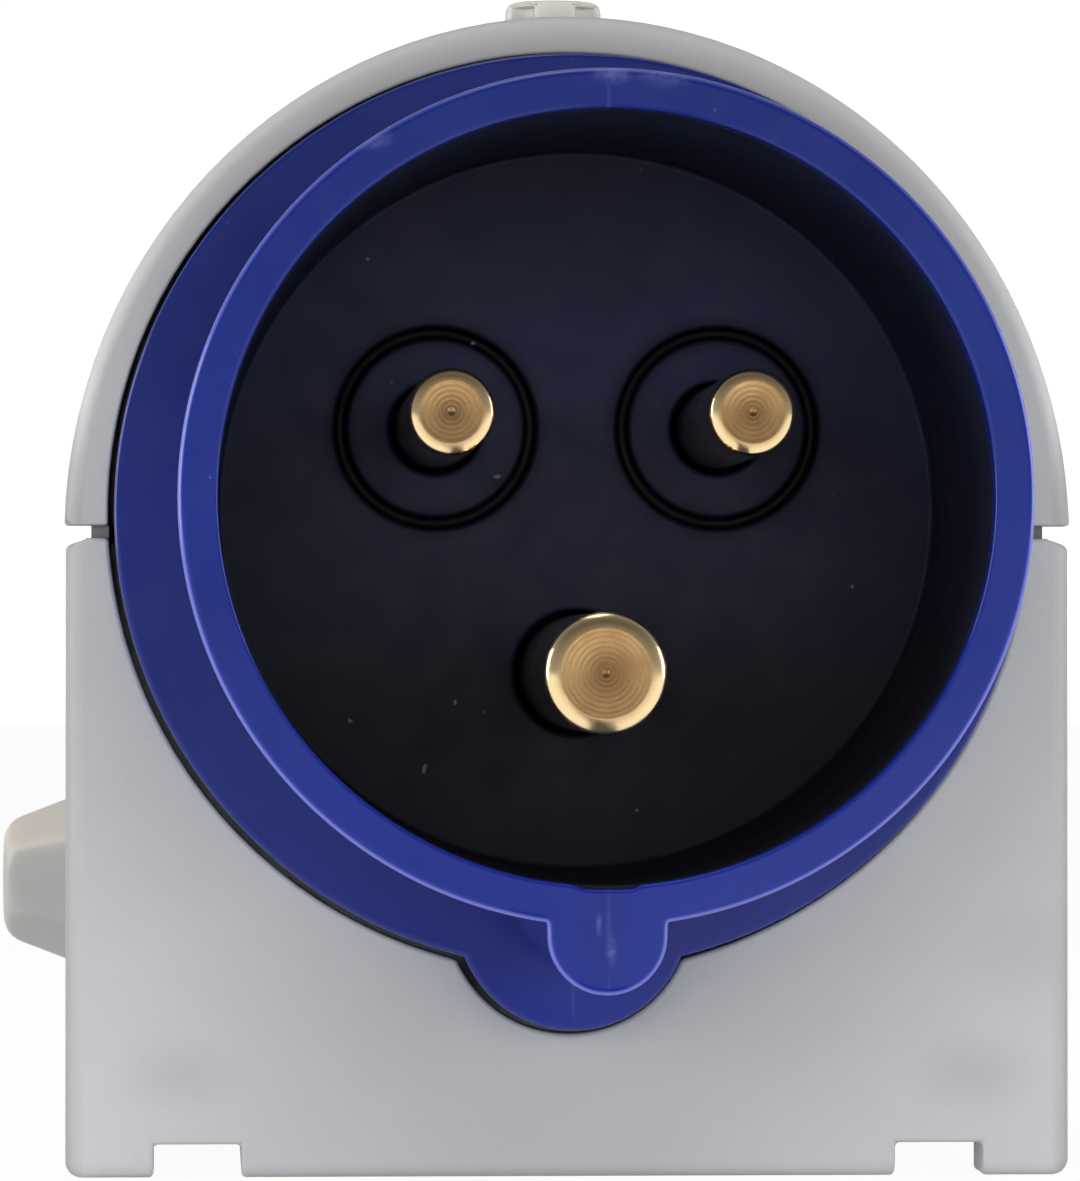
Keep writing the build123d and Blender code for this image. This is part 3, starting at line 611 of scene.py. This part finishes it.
def moulded_blue(name):
    """Deep-blue glossy plastic with flow marks, a faint parting line, a nick, a few specks and a polished
    wall beside the key; with painted shade at the top and on the key's face, painted light at the bottom and
    a painted highlight along the outer edge of the rim."""
    skin = Finish(name, IOR=1.5, Specular_IOR_Level=0.35, Subsurface_Weight=0.04, Subsurface_Scale=0.001)
    place = skin.along()
    flow = skin.span(skin.cloud(70.0, 4.0), 0.0, 1.0)
    colour = skin.blend(flow, paint(*blue_light), paint(*blue_dark))
    # Painted shade: the blue is darker and greyer towards the top.
    high_up = skin.span(place["Z"], 0.0, 0.6, *metres(crown_shade, axis_z))
    colour = skin.blend(high_up, colour, paint(*blue_crown_shade))
    # Painted light: the blue is lighter towards the bottom.
    painted_low_shading = skin.span(place["Z"], 0.35, 0.0, *metres(foot_shade, axis_z))
    colour = skin.blend(painted_low_shading, colour, paint(*blue_foot_light))
    wander = skin.span(skin.cloud(200.0), -0.1 * mm, 0.1 * mm)
    from_seam = skin.maths("ABSOLUTE", skin.maths("ADD", place["X"], wander))
    seam = skin.span(from_seam, 1.0, 0.0, 0.04 * mm, 0.14 * mm)
    seam = skin.maths("MULTIPLY", seam, skin.span(skin.cloud(260.0), 0.1, 1.0, 0.4, 0.62))
    # Painted shade in the middle of the key's face, broken up by noise.
    key_shade = skin.near((key_shade_x, rim_y, axis_z + key_shade_z), key_shade_size, key_shade_squash)
    key_shade = skin.maths("MULTIPLY", key_shade, skin.span(skin.cloud(420.0), 0.21, 0.7))
    colour = skin.blend(key_shade, colour, paint(*blue_key_shade))
    pale = skin.maths("MULTIPLY", seam, 0.06)
    for x, z, size, squash, share in pale_marks:
        spot = skin.maths("MULTIPLY", skin.near((x, rim_y, axis_z + z), size, (squash, 1.0, 1.0)), share)
        grain = skin.span(skin.cloud(2400.0), 0.2, 1.0)
        pale = skin.maths("MAXIMUM", pale, skin.maths("MULTIPLY", spot, grain))
    dust = skin.span(skin.cloud(1100.0, 1.0), 0.0, 0.35, 0.82, 0.85)
    colour = skin.blend(skin.maths("MAXIMUM", pale, dust), colour, paint(*blue_pale))
    # Painted highlight along the rounded outer edge of the rim, fading towards the top.
    facing = skin.along("Normal")["Y"]
    before_side = skin.span(facing, 1.0, 0.0, -0.5, -0.2)
    past_face = skin.span(facing, 0.0, 1.0, -0.95, -0.75)
    at_rim = skin.span(place["Y"], 1.0, 0.0, *metres((rim_round, 2 * rim_round), rim_y))
    outside = skin.span(skin.reach(0, axis_z), 0.0, 0.8, *metres(highlight_from_r))
    fading = skin.span(place["Z"], 1.0, 0.35, *metres(highlight_fade, axis_z))
    edge = skin.maths("MULTIPLY", before_side, past_face)
    for share in (at_rim, outside, fading):
        edge = skin.maths("MULTIPLY", edge, share)
    colour = skin.blend(edge, colour, paint(*blue_edge_highlight))
    rubbed = skin.maths("MULTIPLY", pale, 0.3)
    roughness = skin.maths("ADD", skin.span(skin.cloud(300.0), 0.13, 0.20), rubbed)
    polished = skin.near((wall_x, wall_y, axis_z + wall_z), wall_size, wall_squash)
    polished = skin.maths("MULTIPLY", polished, skin.span(facing, 0.0, 1.0, -0.2, -0.02))
    polished = skin.maths("MINIMUM", skin.maths("MULTIPLY", polished, 3.0), 1.0)
    roughness = skin.maths("MULTIPLY", roughness, skin.span(polished, 1.0, 0.2, 0.0, 1.0))
    rippled = skin.span(polished, 1.0, 0.0, 0.0, 1.0)
    normal = skin.relief(skin.cloud(110.0, 2.0), 0.05, strength=rippled)
    normal = skin.relief(skin.cloud(3000.0), 0.004, normal, rippled)
    normal = skin.relief(skin.maths("SUBTRACT", seam, pale), 0.02, normal)
    return skin.wear(colour, roughness, normal)


flange_y = -49.0
flange_run, neck_run = 10.8, 8.4
drum_back = flange_y + flange_run
neck_back = drum_back + neck_run
carrier_end = drum_back + 2.0
bowl_r, tube_r, sleeve_r, seat_r, neck_r = 22.0, 24.3, 22.9, 23.7, 26.1
lip_depth, relief_depth, relief_half, relief_fade = 1.6, 0.2, 1.9, 0.5
key_r, key_drop, key_blend = 3.4, 24.8, 0.7
lobe_r, lobe_drop = 7.2, 25.0
inner_round, flange_round, back_round, neck_chamfer, beside = 0.25, 0.3, 0.2, 0.3, 0.12
ring_groove_r = seat_r + 0.85
ring_front = carrier_end + 3.0
ring_back = ring_front + 1.65
bend_limit = 0.008


def tube_reach(angle):
    """Outside of the tube at this angle from straight down: a circle, with the key blended in."""
    off = key_drop * sin(abs(angle))
    key = key_r / max(sin(abs(angle)), 0.01) if abs(angle) < pi / 2 else 0.0
    if key * cos(angle) > key_drop:
        key = key_drop * cos(angle) + sqrt(key_r * key_r - off * off)
    share = max(key_blend - abs(tube_r - key), 0.0) / key_blend
    return max(tube_r, key) + share * share * key_blend / 4


def drum_reach(angle):
    """Outside of the flange at this angle: a circle with the round lobe under the key."""
    off = lobe_drop * sin(abs(angle))
    if abs(angle) >= pi / 2 or off > lobe_r:
        return drum_r
    return max(drum_r, lobe_drop * cos(angle) + sqrt(lobe_r * lobe_r - off * off))


def lip_reach(angle):
    """Inside of the rim at this angle, with the shallow relief over the key."""
    off = bowl_r * sin(abs(angle)) if abs(angle) < 1 else bowl_r
    return bowl_r + relief_depth * min(max((relief_half - off) / relief_fade, 0.0), 1.0)


def shroud_angles():
    """Whole degrees round the shroud, and finer steps where an outline bends."""
    steps = [radians(k) for k in range(-180, 181)]
    for _ in range(5):
        finer = [steps[0]]
        for before, after in zip(steps, steps[1:]):
            middle = (before + after) / 2
            bends = [abs(reach(middle) - (reach(before) + reach(after)) / 2)
                     for reach in (tube_reach, drum_reach, lip_reach)]
            finer += [middle, after] if max(bends) > bend_limit else [after]
        steps = finer
    return steps[:-1]


angles = shroud_angles()


def loop(reach, y, inset=0.0):
    """Loop round the shroud's axis at this depth: a radius, or an outline set in square to itself."""
    reaches = [reach(a) for a in angles] if callable(reach) else [reach] * len(angles)
    outline = [(r * sin(a), -r * cos(a)) for r, a in zip(reaches, angles)]
    points = []
    for k, (x, z) in enumerate(outline):
        before, after = outline[k - 1], outline[(k + 1) % len(outline)]
        run_x, run_z = after[0] - before[0], after[1] - before[1]
        length = sqrt(run_x * run_x + run_z * run_z)
        points.append((x - inset * run_z / length, y, axis_z + z + inset * run_x / length))
    return points


def rounded_front(reach, radius, y, steps=5):
    """Loops that round the front edge of an outline, from its face to its side."""
    turn = [pi / 2 * k / steps for k in range(steps + 1)]
    return [loop(reach, y + radius * (1 - cos(t)), radius * (1 - sin(t))) for t in turn]


sections = [loop(sleeve_r, drum_back), loop(sleeve_r, rim_y + lip_depth), loop(lip_reach, rim_y + lip_depth)]
for k in range(5):
    t = pi / 2 * k / 4
    outward = inner_round * (1 - cos(t))
    sections.append(loop(lambda a: lip_reach(a) + outward, rim_y + inner_round * (1 - sin(t))))
sections.append(loop(lambda a: lip_reach(a) + inner_round + beside, rim_y))
sections.append(loop(tube_reach, rim_y, rim_round + beside))
sections += rounded_front(tube_reach, rim_round, rim_y)
sections += [loop(tube_reach, flange_y), loop(drum_reach, flange_y, flange_round + beside)]
sections += rounded_front(drum_reach, flange_round, flange_y)
sections += [loop(drum_reach, drum_back - back_round), loop(drum_reach, drum_back, back_round)]
sections.append(loop(neck_r, drum_back))
sections += [loop(neck_r, neck_back - neck_chamfer), loop(neck_r - neck_chamfer, neck_back)]
for r, y in ((seat_r, neck_back), (seat_r, ring_back), (ring_groove_r, ring_back),
             (ring_groove_r, ring_front), (seat_r, ring_front), (seat_r, drum_back)):
    sections.append(loop(r, y))
shroud = new_piece("shroud_moulding", *skinned(sections, closed=True))


def lump(low, high):
    """Block between two corners, in millimetres."""
    bpy.ops.mesh.primitive_cube_add(size=1, location=[(a + b) / 2 * mm for a, b in zip(low, high)],
                                    scale=[(b - a) * mm for a, b in zip(low, high)])
    bpy.ops.object.transform_apply()
    return bpy.context.object


def round_bar(x, y, low, high, radius):
    """Upright round bar, in millimetres."""
    bpy.ops.mesh.primitive_cylinder_add(vertices=64, radius=radius * mm, depth=(high - low) * mm,
                                        location=(x * mm, y * mm, (low + high) / 2 * mm))
    bpy.ops.object.transform_apply()
    return bpy.context.object


lug_x, lug_y, lug_z = neck_r - 4.6, -24.0, axis_z - 14.0
lug_half, lug_thick, lug_root, lug_end, lug_hole_r = 4.0, 3.0, 3.0, 5.0, 1.8
for x in (-lug_x, lug_x):
    low = (x - lug_half, neck_back - lug_root, lug_z)
    high = (x + lug_half, lug_y + lug_end, lug_z + lug_thick)
    combine(shroud, lump(low, high), "UNION")
    combine(shroud, round_bar(x, lug_y, lug_z - 1.0, lug_z + lug_thick + 1.0, lug_hole_r), "DIFFERENCE")

tongue_turn, tongue_inset, tongue_end = 13.3, 0.02, 5.0
screw_y, screw_hole_r = -23.2, 2.05
boss_r, boss_top, boss_run = 4.2, 69.1, 8.3
turn = [radians(tongue_turn * k / 12) for k in range(-12, 13)]
outline = [((neck_r - tongue_inset) * sin(t), (neck_r - tongue_inset) * cos(t)) for t in turn]
outline += [((seat_r + tongue_inset) * sin(t), (seat_r + tongue_inset) * cos(t)) for t in turn[::-1]]
tongue = [[(x, y, axis_z + z) for x, z in outline] for y in (neck_back - 1.0, screw_y + tongue_end)]
combine(shroud, mesh_object("tongue", *skinned(tongue)), "UNION")
combine(shroud, round_bar(0, screw_y, boss_top - boss_run, boss_top, boss_r), "UNION")
combine(shroud, round_bar(0, screw_y, boss_top - boss_run - 0.8, boss_top + 1.0, screw_hole_r), "DIFFERENCE")

# Faces square to the axis stay flat, so that their long thin parts show no lines.
square_on = 0.99999
for face in shroud.data.polygons:
    face.use_smooth = abs(face.normal.y) < square_on
dress(shroud, moulded_blue("shroud_blue"))
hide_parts("inlet_shroud")

# Shroud seal and hood seal
# Flat rubber ring behind the flange, and a U-shaped rubber strip in the split of the housing. The
# lug screws squeeze the ring, and the hood screw squeezes the strip.
rubber_grey = (112, 110, 106)
dress(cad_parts["shroud_seal"], seal_rubber)
dress(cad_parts["hood_seal"], soft_rubber("grey_rubber", rubber_grey))

# Hood
# Arched cover of the same light-grey plastic. Two hooks hold its rear edge in the base and one
# screw on the crown holds it down, through a small raised pad.
hood_edge = 0.2
hood_light, hood_dark = (194, 194, 193), (185, 185, 185)
hood_grey = moulded_grey("hood_grey", hood_light, hood_dark, top_shade=0.7)
dress(rounded("hood", hood_edge), hood_grey)

# Hood screw and its seal
# Captive screw of natural nylon with a low head, four notches for the fingers and a slot for a
# coin. A rubber ring under the head keeps water out.
screw_edge = 0.15
screw_light, screw_dark = (200, 197, 192), (184, 181, 176)
screw_nylon = natural_nylon("screw_nylon", screw_light, screw_dark)
dress(rounded("hood_screw", screw_edge), screw_nylon)
dress(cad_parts["hood_screw_seal"], seal_rubber)

# Floor and backdrop
# A white table top that runs far past the object. It shows nearly white to the camera and in
# reflections, and keeps a soft shadow.
floor_size, floor_drop = 6.0, 0.02
white_share, glow_level = 0.93, 1.02
paper_tone, strip_shade = 0.94, 0.85
strip_half, strip_back = 0.008, -0.09
plain_white = (1.0, 1.0, 1.0, 1.0)


def white_sweep(name):
    """White paper that also glows to the camera and in reflections, but for the shaded strip in
    front of the object where the camera stands."""
    sweep = Finish(name)
    sweep.tree.nodes.remove(sweep.shader)
    spot = sweep.along()
    rays = sweep.add("ShaderNodeLightPath").outputs
    beside_strip = sweep.maths("GREATER_THAN", sweep.maths("ABSOLUTE", spot["X"]), strip_half)
    lit = sweep.maths("MAXIMUM", beside_strip, sweep.maths("GREATER_THAN", spot["Y"], strip_back))
    mirrored = sweep.maths("MULTIPLY", rays["Is Glossy Ray"], lit)
    shaded = sweep.maths("SUBTRACT", rays["Is Glossy Ray"], mirrored)
    tone = sweep.maths("SUBTRACT", paper_tone, sweep.maths("MULTIPLY", shaded, strip_shade))
    share = sweep.maths("MAXIMUM", rays["Is Camera Ray"], mirrored)
    share = sweep.maths("MULTIPLY", share, white_share)
    paper = sweep.add("ShaderNodeBsdfDiffuse", {"Color": tone}).outputs[0]
    glow = sweep.add("ShaderNodeEmission", {"Color": plain_white, "Strength": glow_level}).outputs[0]
    mixed = sweep.add("ShaderNodeMixShader", {0: share, 1: paper, 2: glow}).outputs[0]
    sweep.join(mixed, sweep.tree.nodes["Material Output"].inputs["Surface"])
    return sweep.material


bpy.ops.mesh.primitive_plane_add(size=floor_size, location=(0, 0, -floor_drop * mm))
table_top = bpy.context.object
table_top.name = "table_top"
table_top.data.materials.append(white_sweep("white_sweep"))

# Studio light
# A white room that is dark behind the camera and dimmer overhead. Two low panels wash the front,
# and a panel on each side and one above edge the rim and the housing with light.
room = bpy.data.worlds.new("room")
bpy.context.scene.world = room
room.use_nodes = True
nodes, links = room.node_tree.nodes, room.node_tree.links
direction = nodes.new("ShaderNodeSeparateXYZ")
links.new(nodes.new("ShaderNodeTexCoord").outputs["Generated"], direction.inputs[0])


def ramp(axis, start, end, low, high):
    """Brightness that changes softly along one axis of the direction."""
    made = nodes.new("ShaderNodeMapRange")
    made.interpolation_type = "SMOOTHSTEP"
    for socket, value in (("From Min", start), ("From Max", end), ("To Min", low), ("To Max", high)):
        made.inputs[socket].default_value = value
    links.new(direction.outputs[axis], made.inputs["Value"])
    return made.outputs["Result"]


ahead = nodes.new("ShaderNodeMath")
ahead.operation = "MULTIPLY"
links.new(ramp("Y", start=-0.75, end=0.5, low=0.27, high=1.0), ahead.inputs[0])
links.new(ramp("Z", start=0.0, end=0.7, low=1.1, high=0.4), ahead.inputs[1])
shown = nodes.new("ShaderNodeMath")
shown.operation = "MAXIMUM"
links.new(nodes.new("ShaderNodeLightPath").outputs["Is Camera Ray"], shown.inputs[0])
links.new(ahead.outputs[0], shown.inputs[1])
backdrop = nodes["Background"]
backdrop.inputs["Color"].default_value = plain_white
links.new(shown.outputs[0], backdrop.inputs["Strength"])


def turn_to(thing, place, aim):
    """Puts a lamp or the camera at a place, in metres, and turns it to what it is aimed at."""
    thing.location = place
    thing.rotation_euler = (Vector(place) - Vector(aim)).to_track_quat("Z", "Y").to_euler()


def panel(name, place, size, watts, mirrored=True, aim=(0, -0.05, 0.04)):
    """Square soft panel that faces the object, and may be left out of reflections."""
    light = bpy.data.lights.new(name, "AREA")
    light.size = size
    light.energy = watts
    lamp = placed(name, light)
    lamp.visible_glossy = mirrored
    turn_to(lamp, place, aim)


panel("wash_left", (-0.19, -0.64, 0.07), size=0.3, watts=1.95, mirrored=False)
panel("wash_right", (0.17, -0.64, 0.07), size=0.3, watts=1.75, mirrored=False)
panel("edge_left", (-0.55, -0.10, 0.12), size=0.3, watts=1.6)
panel("edge_right", (0.55, -0.10, 0.12), size=0.3, watts=1.2)
panel("edge_above", (-0.05, -0.10, 0.60), size=0.25, watts=0.45)

# Camera
# A long lens almost level with the shroud, a little to the left of it.
camera_place = (-22.4 * mm, -480.8 * mm, 32.4 * mm)
camera_aim = (-3.84 * mm, -86.8 * mm, 36.3 * mm)
lens = bpy.data.cameras.new("camera")
lens.lens = 212.8
lens.sensor_width = 36
camera = placed("camera", lens)
turn_to(camera, camera_place, camera_aim)
bpy.context.scene.camera = camera
bpy.context.scene.view_settings.view_transform = "Standard"
